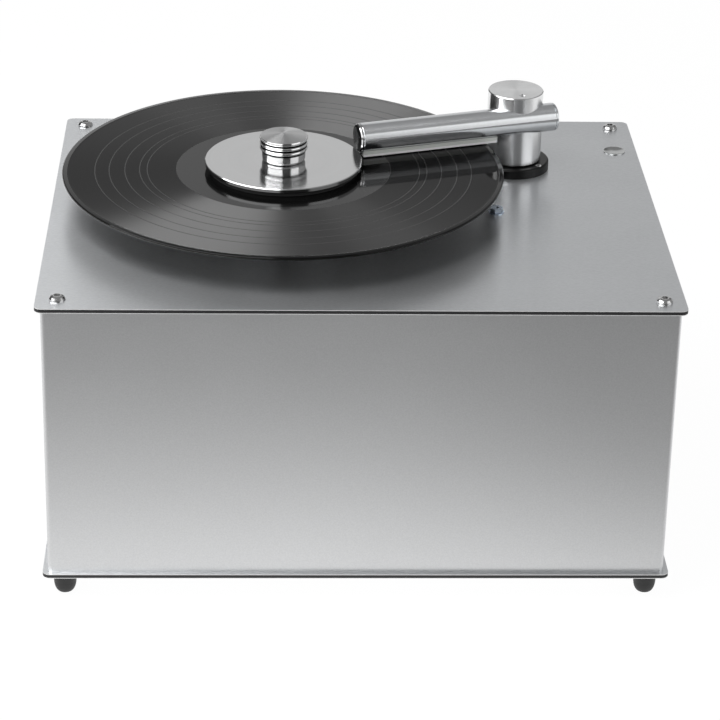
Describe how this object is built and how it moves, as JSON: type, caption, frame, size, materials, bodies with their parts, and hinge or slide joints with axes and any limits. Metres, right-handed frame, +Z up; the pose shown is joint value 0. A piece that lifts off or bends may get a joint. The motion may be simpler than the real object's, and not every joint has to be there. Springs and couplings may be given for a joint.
{
  "type": "record cleaning machine",
  "caption": "Vacuum record cleaning machine: platter with record and clamp, swinging suction arm, folded sheet cabinet on rubber feet.",
  "frame": {"origin": "on the floor under the feet, at the middle of the whole outline", "axes": "+X to the right seen from the front, +Y to the back, +Z up"},
  "size_m": [0.415, 0.3346, 0.2713],
  "materials": {
    "deck_plate": "satin",
    "plate_core": "matt",
    "cabinet_sheet": "fine satin",
    "turned_aluminium": "polished",
    "satin_aluminium": "satin",
    "bright_steel": "bright",
    "zinc_steel": "zinc plated",
    "black_gloss": "gloss",
    "vinyl": "grooved, glossy",
    "black_rubber": "matt",
    "hose_rubber": "matt",
    "velvet": "short pile",
    "black_plastic": "fine grain",
    "tank_plastic": "milky",
    "motor_paint": "satin",
    "brass": "turned",
    "board_green": "satin"
  },
  "bodies": {
    "cabinet": {"top_plate": "deck_plate", "top_plate_core": "plate_core", "bottom_plate": "deck_plate", "bottom_plate_core": "plate_core", "cabinet_wrap": "cabinet_sheet", "rear_panel": "cabinet_sheet", "rear_panel_screws": "bright_steel", "corner_posts": "satin_aluminium", "top_screws": "bright_steel", "feet": "black_rubber", "foot_studs": "zinc_steel", "dished_plug": "turned_aluminium", "bracket_bolts": "zinc_steel", "fan_bracket": "zinc_steel", "spindle_bearing": "motor_paint", "motor_bracket": "zinc_steel", "motor_standoffs": "brass", "gear_motor": "motor_paint", "arm_flange": "black_gloss", "flange_screws": "bright_steel", "arm_socket": "satin_aluminium", "suction_chamber": "black_plastic", "lift_spring": "zinc_steel", "tank_hose": "hose_rubber", "waste_tank": "tank_plastic", "tank_lid": "tank_plastic", "vacuum_hose": "hose_rubber", "fan_housing": "black_plastic", "vacuum_motor": "motor_paint", "motor_mounts": "black_rubber", "drain_hose": "hose_rubber", "drain_port": "black_plastic", "power_inlet": "black_plastic", "inlet_pins": "brass", "suction_switch_frame": "black_plastic", "rotation_switch_frame": "black_plastic", "control_board": "board_green"},
    "platter": {"platter": "satin_aluminium", "platter_mat": "black_rubber", "spindle": "bright_steel", "record": "vinyl", "shaft_coupling": "satin_aluminium", "gearbox_shaft": "bright_steel"},
    "clamp": {"clamp_disc": "satin_aluminium", "clamp_knob": "turned_aluminium", "clamp_seal": "black_rubber"},
    "arm_carrier": {"lift_sleeve": "brass"},
    "arm": {"arm_post": "turned_aluminium", "arm_stem": "bright_steel", "arm_tube": "turned_aluminium", "arm_end_plug": "turned_aluminium", "arm_tail_plug": "turned_aluminium", "nozzle_bar": "satin_aluminium", "velvet_strips": "velvet", "arm_set_screw": "bright_steel"},
    "impeller": {"impeller": "satin_aluminium"},
    "suction_rocker": {"suction_rocker": "black_plastic"},
    "rotation_rocker": {"rotation_rocker": "black_plastic"},
    "fuse_drawer": {"fuse_drawer": "black_plastic"},
    "drain_plug": {"drain_plug": "black_plastic"}
  },
  "joints": [
    {"name": "platter_spin", "type": "hinge", "parent": "cabinet", "child": "platter", "pos_m": [-0.0492, 0.00345, 0.213], "axis": [0, 0, 1], "continuous": true},
    {"name": "clamp_lift", "type": "slide", "parent": "platter", "child": "clamp", "axis": [0, 0, 1], "range_m": [0, 0.03]},
    {"name": "arm_lift", "type": "slide", "parent": "cabinet", "child": "arm_carrier", "axis": [0, 0, 1], "range_m": [-0.0004, 0.008], "stiffness_N_per_m": 300, "springref_m": 0.0087, "deforming": ["lift_spring"]},
    {"name": "arm_swing", "type": "hinge", "parent": "arm_carrier", "child": "arm", "pos_m": [0.115, 0.07425, 0.213], "axis": [0, 0, 1], "range_deg": [-5, 78]},
    {"name": "impeller_spin", "type": "hinge", "parent": "cabinet", "child": "impeller", "pos_m": [0.062, -0.06475, 0.083], "axis": [0, 0, 1], "continuous": true},
    {"name": "suction_rocker_tilt", "type": "hinge", "parent": "cabinet", "child": "suction_rocker", "pos_m": [0.2, -0.12475, 0.171], "axis": [0, 1, 0], "range_deg": [-16, 0]},
    {"name": "rotation_rocker_tilt", "type": "hinge", "parent": "cabinet", "child": "rotation_rocker", "pos_m": [0.2, -0.09475, 0.171], "axis": [0, 1, 0], "range_deg": [-8, 8]},
    {"name": "fuse_drawer_pull", "type": "slide", "parent": "cabinet", "child": "fuse_drawer", "axis": [0, 1, 0], "range_m": [0, 0.014]},
    {"name": "drain_plug_pull", "type": "slide", "parent": "cabinet", "child": "drain_plug", "axis": [0, 1, 0], "range_m": [0, 0.02]}
  ]
}
